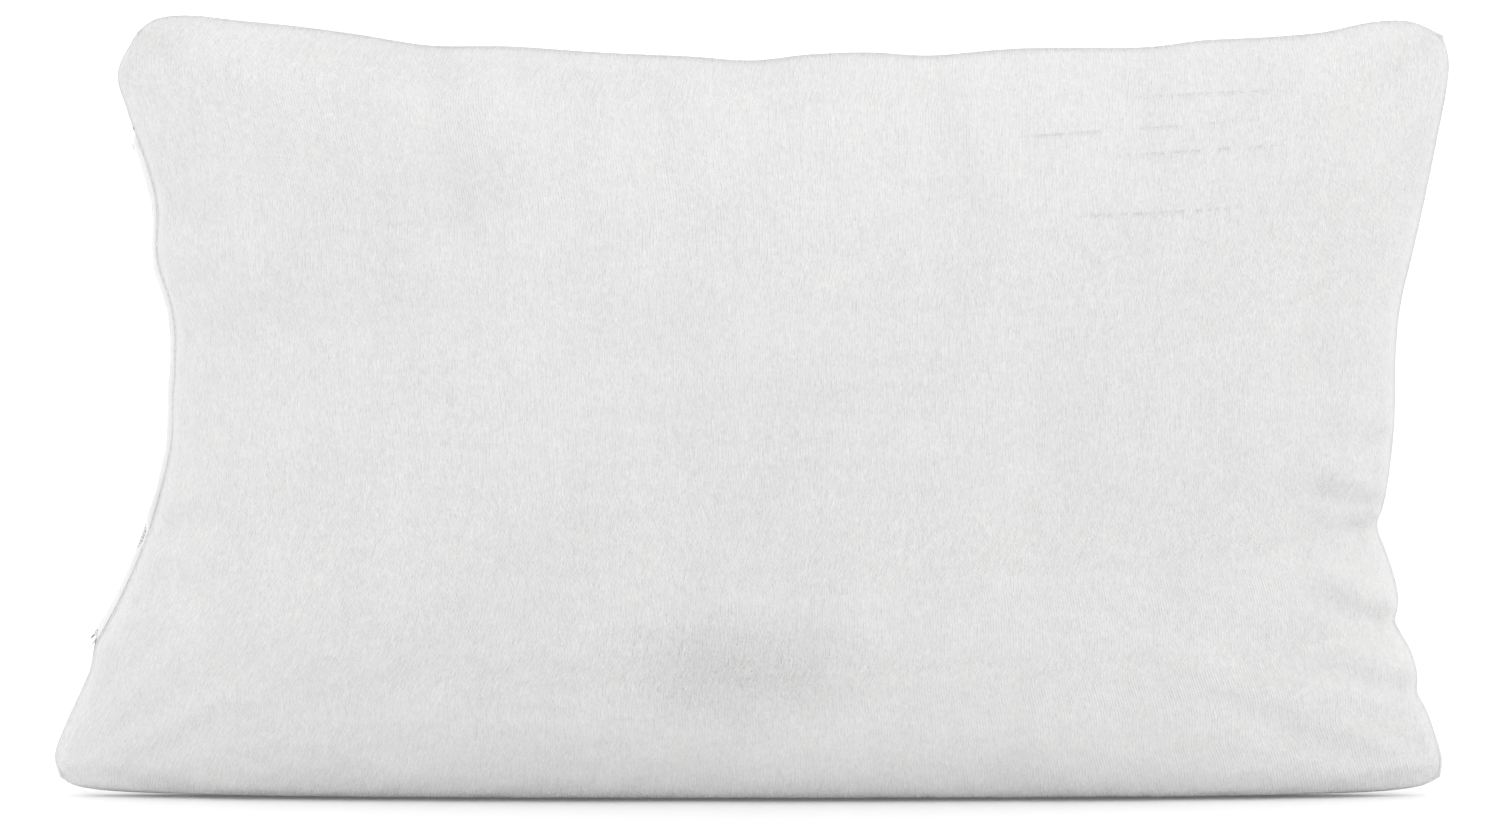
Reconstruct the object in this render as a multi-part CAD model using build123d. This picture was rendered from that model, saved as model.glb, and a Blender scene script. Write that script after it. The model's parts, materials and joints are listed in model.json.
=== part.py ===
from build123d import *
from math import asin, comb, cos, degrees, radians, sin
import os

# A bed pillow that stands on its long bottom edge. Millimetres, X along its length, Y through its
# thickness with the front at -Y, Z up. The origin is the centre of the base, on the floor.

# The filled pillow
bottom_length = 700.0        # corner to corner along the bottom edge
pillow_height = 398.0        # base to the top corners
pillow_thickness = 148.0     # front to back at its fullest
base_depth = 78.0            # front to back of the flattened base, at mid length
top_sag = 25.0               # how far the top edge dips between its corners
top_left_in = 28.0           # how far the top left corner stands in from the bottom left one
top_right_out = 1.5          # how far the top right corner stands out past the bottom right one

# How far each control point of the two short sides stands in from the bottom corner, going up
left_side_in = (-14.0, 58.0, 62.0, 14.0)
right_side_in = (20.0, 50.0, 45.0, 15.0)

# Fullness of the front face, as shares of its greatest depth: rows go up, columns go right
fullness = (
    (0.86, 0.86, 0.86, 0.78),
    (1.02, 1.08, 1.08, 0.90),
    (0.96, 0.98, 0.98, 0.84),
    (0.90, 0.56, 0.56, 0.52),
)
face_heights = (0.0, 0.01, 0.34, 0.70, 0.995, 1.0)    # heights of the six rows, as shares
face_steps = (0.0, 0.012, 0.34, 0.66, 0.988, 1.0)     # places of the six columns along a row
end_steps = (0.0, 0.14, 0.38, 0.62, 0.86, 1.0)        # the same along the bottom and top edges
base_share = 15 / 16    # how much of the inner control points' depth the base has, at mid length
top_sag_share = 5 / 8   # how much of the inner control points' sag the top edge has, at mid length

# The removable cover
cover_wall = 1.6             # knitted velour with its thin backing
seam_allowance = 10.0        # cloth turned in past the seam
thread = 0.6                 # seam thread, across
seam_depth = 0.4             # from the inner side of the wall to the seam thread

# The zip in the left short side, on an arc that bows in between the corners
side_pull = 60.0             # how far the side is pulled in from the bottom corner, at its waist
waist_rise = 7.0             # height of the waist above mid height
side_lean = 5.0              # how far the waist faces up from level, in degrees
zip_end_margin = 71.0        # top or bottom of the pillow to the zip's end
zip_bow = 30.0               # how far the zip bows in between its ends
window_width = 18.0          # gap between the two panels where the zip shows
lip_proud = 2.6              # how far the lip stands out past the panel's edge
lip_wall = 1.8
tape_wall = 0.5
tape_width = 13.0            # each tape, from the zip's middle line
tape_gap = 1.6               # between the two tapes
tape_overrun = 5.0           # tape past each end of the window
coil_width = 2.8             # each coil, across the zip
coil_height = 2.2
coil_gap = 0.1               # between the two closed coils
stop_length = 2.4
bartack_length = 1.6
stitch_inset = 2.0           # from the window's edge to the thread row that holds the tape
label_length = 32.0
label_wall = 0.4

# The slider and its tab
slider_length = 10.0
slider_width = 9.0
plate_wall = 1.2
slider_play = 0.3            # clearance to the coils and the tapes
post_width = 1.0
post_length = 2.2
bridge_wall = 1.0            # the bridge that holds the tab's pin
bridge_width = 2.0
pin_radius = 0.7
pin_play = 0.1
tab_length = 30.0            # from the pin's middle line
tab_width = 6.4
tab_wall = 1.2
tab_corner = 2.0
tab_hole = 3.0
tab_hole_up = 4.5            # from the tab's end to the middle of its hole
tab_rest_lift = 3.0          # how far the tab stands off the zip at rest, in degrees

# The liner and the filling
liner_wall = 0.6
liner_play = 0.4             # between the cover and the liner, front and back
liner_edge_play = 0.6        # between the cover's seam allowance and the liner's overlock
overlock_width = 4.0
closing_length = 150.0       # the slit the filling goes in through
fill_play = 0.3

# The arc of the zip
mid_height = pillow_height / 2
half_chord = mid_height - zip_end_margin
zip_radius = (half_chord**2 + zip_bow**2) / (2 * zip_bow)
zip_half_angle = degrees(asin(half_chord / zip_radius))
waist_x = -bottom_length / 2 + side_pull
waist_z = mid_height + waist_rise
lean = radians(side_lean)
arc_plane = Plane(
    origin=(waist_x - zip_radius * cos(lean), 0, waist_z + zip_radius * sin(lean)),
    x_dir=(cos(lean), 0, -sin(lean)),
    z_dir=(sin(lean), 0, cos(lean)),
)
zip_middle = window_width / 2
coil_top = zip_radius + cover_wall - coil_height
tape_inside = zip_radius + cover_wall + tape_wall


def along(length):
    """The angle, in degrees, that a length along the zip spans."""
    return degrees(length / zip_radius)


# The slider at the closed end, at rest, with its tab hanging over the closed coils
plate_top = coil_top - slider_play - plate_wall
slider_high = zip_half_angle - along(stop_length + slider_play)
slider_low = slider_high - along(slider_length)
post_low = slider_high - along(slider_length / 2)
pin_angle = (slider_low + slider_high) / 2
pin_reach = plate_top - pin_play - pin_radius
bridge_rise = 2 * (pin_radius + pin_play) + bridge_wall
tab_eye = pin_radius + pin_play + bridge_wall + bridge_rise
pin_place = arc_plane.location * Rot(0, -pin_angle, 0) * Pos(pin_reach, zip_middle, 0)
liner_edge_in = cover_wall + seam_allowance + liner_edge_play + thread
liner_face_in = cover_wall + liner_play


def band(inner, outer, near, far, start, end):
    """Part of the ring about the zip's axis: two radii, two places across it, two angles up it."""
    profile = Plane.XY * Pos((inner + outer) / 2, (near + far) / 2) * Rectangle(outer - inner, far - near)
    turned = revolve(profile, Axis.Y, revolution_arc=end - start)
    return arc_plane.location * Rot(0, -end, 0) * turned


def share(k, t):
    """Weight of control point k of six, at place t along the curve."""
    return comb(5, k) * t**k * (1 - t) ** (5 - k)


def face_peak():
    """Divisor of the fullness table that brings the fullest point to the pillow's thickness."""
    steps = [n / 40 for n in range(1, 40)]
    peak = 0.0
    for t in steps:
        for s in steps:
            columns = [share(i, s) for i in range(1, 5)]
            full = sum(share(j + 1, t) * columns[i] * fullness[j][i] for j in range(4) for i in range(4))
            base = share(0, t) * sum(columns) * base_depth / pillow_thickness / base_share
            peak = max(peak, full / (1 - base))
    return peak


def pillow_net(edge_in, face_in, side):
    """Six rows of six control points of the front face (side -1) or the back face (side 1), taken in
    from the pillow's outside by edge_in all round and by face_in through the thickness."""
    half = bottom_length / 2
    lefts = (-half, *(-half + inset for inset in left_side_in), -half + top_left_in)
    rights = (half, *(half - inset for inset in right_side_in), half + top_right_out)
    peak = face_peak()
    rows = []
    for j in range(6):
        row = []
        for i in range(6):
            on_side = i in (0, 5)
            on_end = j in (0, 5)
            step = (end_steps if on_end else face_steps)[i]
            x = lefts[j] + (rights[j] - lefts[j]) * step
            z = pillow_height * (j / 5 if on_side else face_heights[j])
            if j == 5 and i in (2, 3):
                z -= top_sag / top_sag_share
            y = 0.0
            if not on_side and j == 0:
                y = base_depth / 2 / base_share
            if not on_side and not on_end:
                y = pillow_thickness / 2 * fullness[j - 1][i - 1] / peak
            x *= (half - edge_in) / half
            y *= 1 - 2 * face_in / pillow_thickness
            z = edge_in + z * (pillow_height - 2 * edge_in) / pillow_height
            row.append((x, side * y, z))
        rows.append(row)
    return rows


def zip_hollow(arc_in):
    """The round hollow that the left side is cut back to, made larger by arc_in."""
    return arc_plane.location * Rot(90, 0, 0) * Cylinder(zip_radius + arc_in, 2 * pillow_thickness)


def pillow_form(edge_in, face_in, arc_in):
    """The crowned pillow on its flat base, taken in from its outside, with the left side cut back
    to the arc of the zip plus arc_in."""
    front = Face.make_bezier_surface(pillow_net(edge_in, face_in, -1))
    back = Face.make_bezier_surface(pillow_net(edge_in, face_in, 1))
    rims = [face.edges().sort_by(Axis.Z)[0] for face in (front, back)]
    base = Face(Wire(rims))
    return Solid(Shell([front, back, base])) - zip_hollow(arc_in)


def slab(near, far):
    """Everything between two places through the thickness."""
    size = 2 * bottom_length
    return Pos(0, (near + far) / 2, 0) * Box(size, far - near, size)


def zip_stretch():
    """The stretch of the left side that the zip and its tapes take up, seam allowances included."""
    end = zip_half_angle + along(tape_overrun + 1)
    reach = zip_radius + 2 * seam_allowance
    return band(zip_radius - cover_wall, reach, -tape_width, 3 * tape_width, -end, end)


def seam_ring(start, width, near, far):
    """A ring in the plane of the seam, from start to start + width in from the pillow's outside."""
    plate = pillow_form(start, 0, start) & slab(near, far)
    return plate - pillow_form(start + width, 0, start + width)


def seam_outline(inwards):
    """The pillow's outline in the plane of the seam, taken in all round."""
    rows = pillow_net(inwards, 0, -1)
    left = [row[0] for row in rows]
    right = [row[-1] for row in rows]
    sides = [Bezier(*left), Bezier(*rows[-1]), Bezier(*reversed(right)), Line(left[0], right[0])]
    return Face(Wire(sides)) - zip_hollow(inwards)


def thread_ring():
    """The square-edged run of thread along the whole seam."""
    start = cover_wall + seam_depth
    loop = seam_outline(start) - seam_outline(start + thread)
    return extrude(loop, amount=thread / 2, dir=(0, 1, 0), both=True)


def cover_panel(side):
    """One velour panel with its seam allowance, open where the zip shows."""
    reach = pillow_thickness
    near, far = (-reach, 0) if side < 0 else (0, reach)
    wall = pillow_form(0, 0, 0) - pillow_form(cover_wall, cover_wall, cover_wall)
    low, high = (-cover_wall, 0) if side < 0 else (0, cover_wall)
    allowance = seam_ring(cover_wall / 2, cover_wall / 2 + seam_allowance, low, high)
    reach = (zip_radius - seam_allowance, zip_radius + seam_allowance)
    window = band(*reach, 0, window_width, -zip_half_angle, zip_half_angle)
    panel = (wall & slab(near, far)) - window
    return panel + (allowance - zip_stretch()) - thread_ring()


def cover_seam_thread():
    """The lockstitch between the two allowances, stopping at the zip's ends."""
    return thread_ring() - zip_stretch()


def care_label():
    """A blank folded label sewn flat on the back allowance, half way up the right side."""
    inner_edge = cover_wall + seam_depth + thread
    right_end = bottom_length / 2
    reach = Pos(right_end, 0, mid_height) * Box(2 * side_pull, pillow_thickness, label_length)
    width = seam_allowance - seam_depth - thread
    ring = seam_ring(inner_edge, width, cover_wall, cover_wall + 2 * label_wall)
    return ring & reach


def zip_lip():
    """The folded strip that stands proud of the front panel's edge, over the zip."""
    return band(
        zip_radius - lip_proud, zip_radius + cover_wall, 0, lip_wall, -zip_half_angle, zip_half_angle
    )


def coil_edges(side, gap, width=coil_width):
    """The two places across the zip of a coil, or of a tape, that leaves a gap to its partner."""
    return sorted((zip_middle + side * gap / 2, zip_middle + side * (gap / 2 + width)))


def zip_tape(side):
    """One woven tape, behind the panel's edge and under its coil, tucked in where the pillow thins."""
    end = zip_half_angle + along(tape_overrun)
    start = zip_radius + cover_wall
    whole = band(start, tape_inside, *coil_edges(side, tape_gap, tape_width), -end, end)
    core = band(start, tape_inside, *coil_edges(side, tape_gap), -zip_half_angle, zip_half_angle)
    return (whole & pillow_form(cover_wall, cover_wall, cover_wall)) + core


def zip_coil(side):
    """One coil: closed against the other below the slider's post, spread apart beside it."""
    outer = zip_radius + cover_wall
    high = zip_half_angle - along(stop_length)
    closed = band(coil_top, outer, *coil_edges(side, coil_gap), -high, post_low)
    spread = coil_edges(side, post_width + 2 * slider_play)
    return closed + band(coil_top, outer, *spread, post_low, high)


def zip_top_stops():
    """The two stops at the closed end, one on each tape."""
    outer = zip_radius + cover_wall
    low = zip_half_angle - along(stop_length)
    spread = post_width + 2 * slider_play
    return [
        band(coil_top, outer, *coil_edges(side, spread), low, zip_half_angle) for side in (-1, 1)
    ]


def zip_bottom_stop():
    """The retainer across both coils at the open end."""
    reach = coil_width + coil_gap / 2
    sides = (zip_middle - reach, zip_middle + reach)
    high = -zip_half_angle + along(stop_length)
    return band(coil_top, zip_radius + cover_wall, *sides, -zip_half_angle, high)


def zip_bartacks():
    """A bar of close stitches across each end of the window, on the cover."""
    start = zip_half_angle
    end = start + along(bartack_length)
    edges = (zip_radius - thread, zip_radius, -thread, window_width + thread)
    return [band(*edges, start, end), band(*edges, -end, -start)]


def zip_stitches():
    """The thread rows that hold the tapes, one on each panel beside the window."""
    rows = (-stitch_inset, window_width + stitch_inset)
    return [
        band(zip_radius - thread / 2, zip_radius, y, y + thread, -zip_half_angle, zip_half_angle)
        for y in rows
    ]


def zip_slider():
    """Two plates on one post, with the bridge that holds the tab."""
    sides = (zip_middle - slider_width / 2, zip_middle + slider_width / 2)
    outer_plate = band(plate_top, plate_top + plate_wall, *sides, slider_low, slider_high)
    under = tape_inside + slider_play
    inner_plate = band(under, under + plate_wall, *sides, slider_low, slider_high)
    post_sides = (zip_middle - post_width / 2, zip_middle + post_width / 2)
    post = band(plate_top, under + plate_wall, *post_sides, post_low, post_low + along(post_length))
    bridge_sides = (zip_middle - bridge_width / 2, zip_middle + bridge_width / 2)
    reach = along(pin_radius + pin_play + bridge_wall)
    plate_middle = plate_top + plate_wall / 2
    block = band(
        plate_top - bridge_rise, plate_middle, *bridge_sides, pin_angle - reach, pin_angle + reach
    )
    opening = pin_place * Box(
        2 * (pin_radius + pin_play), slider_width, 2 * (pin_radius + pin_play)
    )
    return outer_plate + inner_plate + post + (block - opening)


def zip_pull_tab():
    """The tab, hanging down over the closed coils from the round pin under the bridge."""
    eye_width = bridge_width + 2 * pin_play
    pin = Rot(90, 0, 0) * Cylinder(pin_radius, tab_width)
    blade = Pos(0, 0, -tab_length / 2) * Box(tab_wall, tab_width, tab_length)
    blade = fillet(blade.edges().filter_by(Axis.X).group_by(Axis.Z)[0], tab_corner)
    eye = Pos(0, 0, -tab_eye / 2) * Box(3 * tab_wall, eye_width, tab_eye)
    hole = Pos(0, 0, -tab_length + tab_hole_up) * Rot(0, 90, 0) * Cylinder(tab_hole / 2, 3 * tab_wall)
    return pin_place * Rot(0, tab_rest_lift, 0) * ((blade - eye - hole) + pin)


def liner_form(inwards):
    edge = liner_edge_in + inwards
    return pillow_form(edge, liner_face_in + inwards, edge)


def liner_panel(side):
    """One cotton panel of the liner."""
    near, far = (-pillow_thickness, 0) if side < 0 else (0, pillow_thickness)
    return (liner_form(0) - liner_form(liner_wall)) & slab(near, far)


def liner_overlock():
    """The overlock thread round the liner's edge."""
    edge = liner_edge_in - thread
    plate = pillow_form(edge, liner_face_in, edge) & slab(-overlock_width / 2, overlock_width / 2)
    return plate - liner_form(0)


def closing_reach():
    return Pos(0, 0, pillow_height) * Box(closing_length, pillow_thickness, pillow_height)


def liner_seam_thread():
    return liner_overlock() - closing_reach()


def liner_closing_stitch():
    """The stretch of the top edge that is sewn shut after filling."""
    return liner_overlock() & closing_reach()


def fibre_fill():
    """The hollow fibre filling, as one soft mass."""
    return liner_form(liner_wall + fill_play)


nodes = {
    "cover_front_panel": lambda: cover_panel(-1),
    "cover_back_panel": lambda: cover_panel(1),
    "cover_seam_thread": cover_seam_thread,
    "care_label": care_label,
    "zip_lip": zip_lip,
    "zip_tape_front": lambda: zip_tape(-1),
    "zip_tape_back": lambda: zip_tape(1),
    "zip_coil_front": lambda: zip_coil(-1),
    "zip_coil_back": lambda: zip_coil(1),
    "zip_top_stops": zip_top_stops,
    "zip_bottom_stop": zip_bottom_stop,
    "zip_bartacks": zip_bartacks,
    "zip_stitches": zip_stitches,
    "zip_slider": zip_slider,
    "zip_pull_tab": zip_pull_tab,
    "liner_front_panel": lambda: liner_panel(-1),
    "liner_back_panel": lambda: liner_panel(1),
    "liner_seam_thread": liner_seam_thread,
    "liner_closing_stitch": liner_closing_stitch,
    "fibre_fill": fibre_fill,
}

os.makedirs("parts", exist_ok=True)
for name, make in nodes.items():
    shape = make()
    if isinstance(shape, list):
        shape = Compound(children=shape)
    export_step(shape, f"parts/{name}.step")

centre = arc_plane.origin
pin = pin_place.position
travel = slider_low + zip_half_angle - along(stop_length + slider_play)
print("zip axis at", round(centre.X, 3), round(centre.Y, 3), round(centre.Z, 3))
print("slider travel, degrees", round(travel, 3))
print("tab pin at", round(pin.X, 3), round(pin.Y, 3), round(pin.Z, 3))
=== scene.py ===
"""A white knitted velour bed pillow that stands on its long edge, with a zip in its left side.

Metres, Z up.
"""

import json

import bpy
import numpy as np
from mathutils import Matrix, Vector, noise


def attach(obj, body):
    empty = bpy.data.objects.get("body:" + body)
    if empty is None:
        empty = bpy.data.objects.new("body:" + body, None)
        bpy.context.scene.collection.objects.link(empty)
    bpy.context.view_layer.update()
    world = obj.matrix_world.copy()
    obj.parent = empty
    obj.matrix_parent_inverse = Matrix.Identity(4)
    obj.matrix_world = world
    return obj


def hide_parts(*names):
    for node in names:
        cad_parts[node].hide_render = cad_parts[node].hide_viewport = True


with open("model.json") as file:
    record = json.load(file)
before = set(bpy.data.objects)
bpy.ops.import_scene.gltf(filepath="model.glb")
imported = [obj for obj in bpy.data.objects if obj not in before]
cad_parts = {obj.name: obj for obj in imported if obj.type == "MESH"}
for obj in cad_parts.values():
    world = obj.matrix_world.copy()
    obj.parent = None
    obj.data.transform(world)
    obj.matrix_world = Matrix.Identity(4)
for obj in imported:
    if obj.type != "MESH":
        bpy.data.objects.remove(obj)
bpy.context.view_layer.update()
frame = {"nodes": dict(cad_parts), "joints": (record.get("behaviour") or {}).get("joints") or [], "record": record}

MM = 0.001

# The seam between the two panels, in its own plane, in millimetres (x, z). Corners are shared.
CORNER_BL = (-348, 8)
CORNER_TL = (-307, 386.5)
CORNER_TR = (349, 384.5)
CORNER_BR = (349.5, 8)
LEFT = (
    CORNER_BL, (-350.5, 20), (-346, 34), (-337, 54), (-329, 72), (-314, 103), (-303, 128), (-297, 152),
    (-291, 178), (-287.5, 208), (-289.5, 238), (-295.5, 268), (-298.5, 297), (-302.5, 321),
    (-312, 346), (-317, 366), CORNER_TL,
)
TOP = (
    CORNER_TL, (-297, 393), (-280, 394.5), (-256, 392), (-226, 389), (-196, 385), (-160, 379.5),
    (-120, 379), (-75, 376), (-30, 374), (1, 372), (31, 375), (61, 376), (92, 374.5), (137, 378),
    (197, 378.5), (228, 382), (258, 383.5), (288, 386), (312, 391), (332, 391.5), CORNER_TR,
)
RIGHT = (
    CORNER_BR, (350.5, 18), (347, 31), (342.5, 44), (337.5, 53.5), (338, 61), (334.5, 74), (326.5, 89),
    (328, 97), (327.5, 105), (324, 118), (319.5, 130), (317, 138), (320, 147), (323, 164),
    (325.5, 190), (326, 224), (328.5, 250), (334.5, 276), (341, 306), (346.5, 334), (350.5, 355),
    (352, 371), CORNER_TR,
)
BOTTOM = (
    CORNER_BL, (-336, 0), (-300, -9), (-230, -18), (-120, -24), (0, -26), (120, -24), (230, -18),
    (300, -9), (336, 0), CORNER_BR,
)

# How the two panels were cut and filled
CUT_WIDTH, CUT_WIDTH_ENDS = 748 * MM, 708 * MM
CUT_HEIGHT, CUT_HEIGHT_ENDS = 448 * MM, 404 * MM
COLUMNS, ROWS = 120, 68
START_DEPTH = 62 * MM
CLOTH_WALL = 1.6 * MM
FLOOR_SOFTNESS, FLOOR_SINK = 10 * MM, 0.8 * MM
CLOTH_FRAMES = 24
CELL = 3.0  # a cell of the finished panel's grid, in millimetres
UNEVEN = ((1.7, 75), (0.8, 31), (0.35, 13))  # depth and size of the cloth's unevenness, in millimetres

# The inside, in metres: how far in from the cover's edge and its face each layer lies
PILLOW_CENTRE = np.array([0.0, 0.0, 0.195])
HALF_SIZE = np.array([0.32, 0.07, 0.19])
LINER_EDGE, LINER_DEPTH, LINER_WALL = 0.0125, 0.0026, 0.6 * MM
FILLING_EDGE, FILLING_DEPTH = 0.0145, 0.0042
COVER_SEAM_EDGE = 0.004
CLOSING_HALF, CLOSING_ABOVE = 0.075, 0.2

# The zip, as in the frame
JOINTS = {joint["name"]: joint for joint in frame["joints"]}
ZIP_AXIS = np.array(JOINTS["slider_travel"]["pos_m"], float)
ZIP_RADIUS = 288.07 * MM
ZIP_LOW, ZIP_HIGH = -31.38, 21.38
WINDOW = 18 * MM
ZIP_MIDDLE = WINDOW / 2
BULGE_HEIGHT, BULGE_SPAN, BULGE = 272 * MM, 20 * MM, 6 * MM
DRAWN_IN, DRAWN_FROM, DRAWN_TO = 2.6 * MM, 205 * MM, 175 * MM
TAPE_FACE, TAPE_WALL = ZIP_RADIUS + 1.6 * MM, 0.5 * MM
STITCH_LENGTH, STITCH_GAP = 3.0 * MM, 1.1 * MM
STITCH_INSET = 2.2 * MM
THREAD = 0.3 * MM

# Soft valleys in the cloth, in millimetres: from (x, z) to (x, z), depth and half width
FRONT_VALLEYS = (
    # broad folds that hang from the top seam
    (-160, 376, -148, 292, 5.0, 12), (-52, 372, -44, 310, 4.2, 11), (61, 374, 68, 316, 3.8, 8),
    (88, 374, 96, 304, 4.6, 10), (-232, 384, -214, 330, 2.2, 12), (190, 376, 183, 332, 2.0, 12),
    (262, 382, 246, 338, 2.4, 10),
    # tucks drawn in at the right side's notches
    (319, 148, 288, 155.5, 3.0, 3.4), (319, 138, 303, 139, 2.0, 3), (322, 90, 286, 102, 2.6, 4),
    (334, 54, 292, 66, 2.6, 4), (322, 176, 296, 183, 1.6, 5),
    # the corners
    (349, 10, 298, 4, 2.4, 3), (-346, 11, -290, 5, 1.8, 3.5), (-344, 18, -300, 50, 0.9, 8),
    (344, 20, 300, 44, 1.0, 8), (-300, 380, -262, 338, 1.6, 9), (340, 378, 300, 340, 1.8, 9),
    # drag lines beside the zip
    (-303, 132, -276, 140, 1.8, 5), (-300, 300, -272, 292, 1.6, 6), (-291, 236, -262, 232, 1.4, 6),
    (-318, 96, -288, 108, 1.5, 6),
)
BACK_VALLEYS = (
    (-130, 374, -120, 306, 3.0, 11), (20, 371, 26, 312, 2.8, 10), (120, 375, 112, 306, 2.6, 10),
    (240, 380, 226, 332, 2.0, 10), (284, 150, 319, 140, 2.4, 4), (290, 100, 322, 92, 2.2, 4),
    (-344, 18, -296, 58, 2.0, 7), (344, 20, 300, 46, 2.0, 6), (-300, 380, -262, 338, 2.2, 8),
    (340, 378, 300, 340, 2.2, 8), (-300, 130, -262, 140, 1.8, 6), (-296, 290, -258, 284, 1.8, 6),
    (-288, 210, -252, 208, 1.6, 6),
)


# Small helpers


def lengths_along(line):
    """How far along a line each of its points is."""
    return np.concatenate([[0], np.cumsum(np.linalg.norm(np.diff(line, axis=0), axis=1))])


def points_at(line, wanted):
    """Points at the wanted lengths along a line."""
    length = lengths_along(line)
    return np.stack([np.interp(wanted, length, line[:, k]) for k in range(line.shape[1])], axis=1)


def smooth_path(points, count):
    """count points, evenly spaced by length, on a smooth curve through a few chosen ones."""
    p = np.array(points, float) * MM
    p = np.vstack([2 * p[0] - p[1], p, 2 * p[-1] - p[-2]])
    out = []
    for k in range(1, len(p) - 2):
        t = np.linspace(0, 1, 24, endpoint=False)[:, None]
        a, b, c, d = p[k - 1], p[k], p[k + 1], p[k + 2]
        out.append(
            0.5 * (2 * b + (c - a) * t + (2 * a - 5 * b + 4 * c - d) * t**2 + (3 * b - a - 3 * c + d) * t**3)
        )
    line = np.vstack([*out, p[-2:-1]])
    return points_at(line, np.linspace(0, lengths_along(line)[-1], count))


def ramp(x, low, high):
    """0 up to low, 1 from high, and smooth between."""
    t = np.clip((x - low) / (high - low), 0, 1)
    return t * t * (3 - 2 * t)


def on_zip(radius, across, angle):
    """A point by its distance from the zip's axis, its place across the zip and its angle up it."""
    a = np.radians(angle)
    return np.stack(
        np.broadcast_arrays(
            ZIP_AXIS[0] + radius * np.cos(a), np.asarray(across, float), ZIP_AXIS[2] + radius * np.sin(a)
        ),
        axis=-1,
    )


def new_object(name, vertices, faces, material, smooth=True):
    mesh = bpy.data.meshes.new(name)
    mesh.from_pydata([tuple(map(float, v)) for v in vertices], [], [tuple(map(int, f)) for f in faces])
    mesh.validate()
    if smooth:
        mesh.polygons.foreach_set("use_smooth", [True] * len(mesh.polygons))
    mesh.materials.append(material)
    piece = bpy.data.objects.new(name, mesh)
    bpy.context.collection.objects.link(piece)
    return piece


def finish_piece(piece, body, slot, *nodes):
    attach(piece, body)
    if nodes:
        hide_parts(*nodes)
    return piece


def grid_faces(columns, rows, flip=False):
    i, j = np.meshgrid(np.arange(columns - 1), np.arange(rows - 1), indexing="ij")
    a = (i * rows + j).ravel()
    quads = np.stack([a, a + rows, a + rows + 1, a + 1], axis=1)
    return quads[:, ::-1] if flip else quads


def ring_faces(rings, sides):
    """The faces between rings of points, which are numbered ring by ring."""
    return [
        (k * sides + s, k * sides + (s + 1) % sides, (k + 1) * sides + (s + 1) % sides, (k + 1) * sides + s)
        for k in range(rings - 1)
        for s in range(sides)
    ]


def end_caps(rings, sides):
    return [tuple(range(sides))[::-1], tuple((rings - 1) * sides + s for s in range(sides))]


def tube(name, path, radius, material, sides=6):
    """A round tube along a list of points, capped at its ends."""
    path = np.asarray(path, float)
    ahead = np.roll(path, -1, 0) - np.roll(path, 1, 0)
    ahead[0], ahead[-1] = path[1] - path[0], path[-1] - path[-2]
    ahead /= np.linalg.norm(ahead, axis=1)[:, None]
    side = np.cross(ahead, [0.0, 1.0, 0.0])
    weak = np.linalg.norm(side, axis=1) < 0.2
    side[weak] = np.cross(ahead[weak], [1.0, 0.0, 0.0])
    side /= np.linalg.norm(side, axis=1)[:, None]
    up = np.cross(side, ahead)
    turn = np.linspace(0, 2 * np.pi, sides, endpoint=False)
    ring = side[:, None] * np.cos(turn)[None, :, None] + up[:, None] * np.sin(turn)[None, :, None]
    vertices = (path[:, None] + radius * ring).reshape(-1, 3)
    faces = ring_faces(len(path), sides) + end_caps(len(path), sides)
    return new_object(name, vertices, faces, material)


def thicken(piece, thickness):
    """Gives a sheet its thickness, on its inner side."""
    wall = piece.modifiers.new("wall", "SOLIDIFY")
    wall.thickness = thickness
    wall.offset = -1


def join(name, parts):
    """Several pieces of one kind as one object."""
    vertices, faces, start = [], [], 0
    for part in parts:
        mesh = part.data
        vertices += [tuple(v.co) for v in mesh.vertices]
        faces += [tuple(start + k for k in face.vertices) for face in mesh.polygons]
        start += len(mesh.vertices)
    material = parts[0].data.materials[0]
    for part in parts:
        mesh = part.data
        bpy.data.objects.remove(part)
        bpy.data.meshes.remove(mesh)
    return new_object(name, vertices, faces, material)


# Materials


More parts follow.
